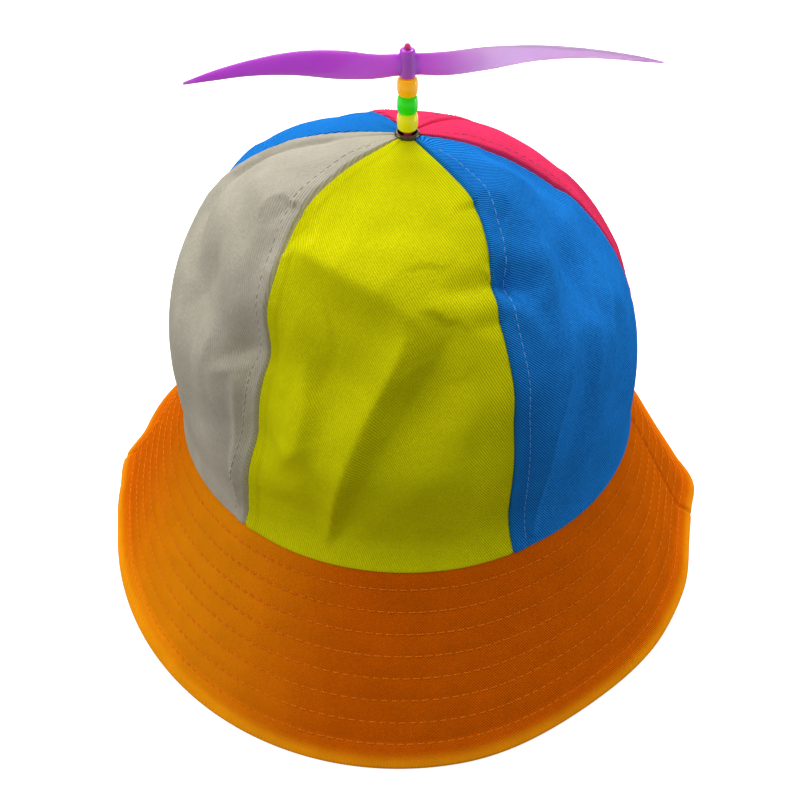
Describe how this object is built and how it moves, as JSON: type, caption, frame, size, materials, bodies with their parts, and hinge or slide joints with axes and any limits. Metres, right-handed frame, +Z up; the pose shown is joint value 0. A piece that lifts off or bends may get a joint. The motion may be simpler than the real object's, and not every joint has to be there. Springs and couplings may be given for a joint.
{
  "type": "propeller cap",
  "caption": "Soft cotton cap with a panelled crown in bright colours, a full stitched brim and a spinning toy propeller on a beaded pin at the top.",
  "frame": {"origin": "on the surface that the brim's rim stands on, under the middle of the crown", "axes": "+Z up along the propeller's pin, front of the cap (the yellow panel) towards -Y, +X to the right as seen from the front"},
  "size_m": [0.2487, 0.268, 0.2019],
  "materials": {
    "yellow_twill": "cotton twill, matt, diagonal weave",
    "blue_twill": "cotton twill, matt, diagonal weave",
    "red_twill": "cotton twill, matt, diagonal weave",
    "grey_twill": "cotton twill, matt, diagonal weave",
    "orange_twill": "cotton twill, two layers, rows of topstitching",
    "eyelet_brass": "antique brass, slightly dull",
    "pink_plastic": "moulded plastic",
    "yellow_plastic": "moulded plastic bead",
    "green_plastic": "moulded plastic bead",
    "orange_plastic": "moulded plastic bead",
    "purple_plastic": "thin glossy moulded plastic, a little translucent"
  },
  "bodies": {
    "cap": {"gore_front_yellow": "yellow_twill", "gore_right_blue": "blue_twill", "gore_right_back_red": "red_twill", "gore_back_red": "red_twill", "gore_left_back_blue": "blue_twill", "gore_left_grey": "grey_twill", "brim_front": "orange_twill", "brim_back": "orange_twill", "eyelet": "eyelet_brass", "spindle": "pink_plastic", "bead_yellow": "yellow_plastic", "bead_green": "green_plastic", "bead_orange": "orange_plastic"},
    "propeller": {"propeller": "purple_plastic"}
  },
  "joints": [
    {"name": "propeller_spin", "type": "hinge", "parent": "cap", "child": "propeller", "pos_m": [0, 0, 0.195], "axis": [0, 0, 1], "continuous": true}
  ]
}
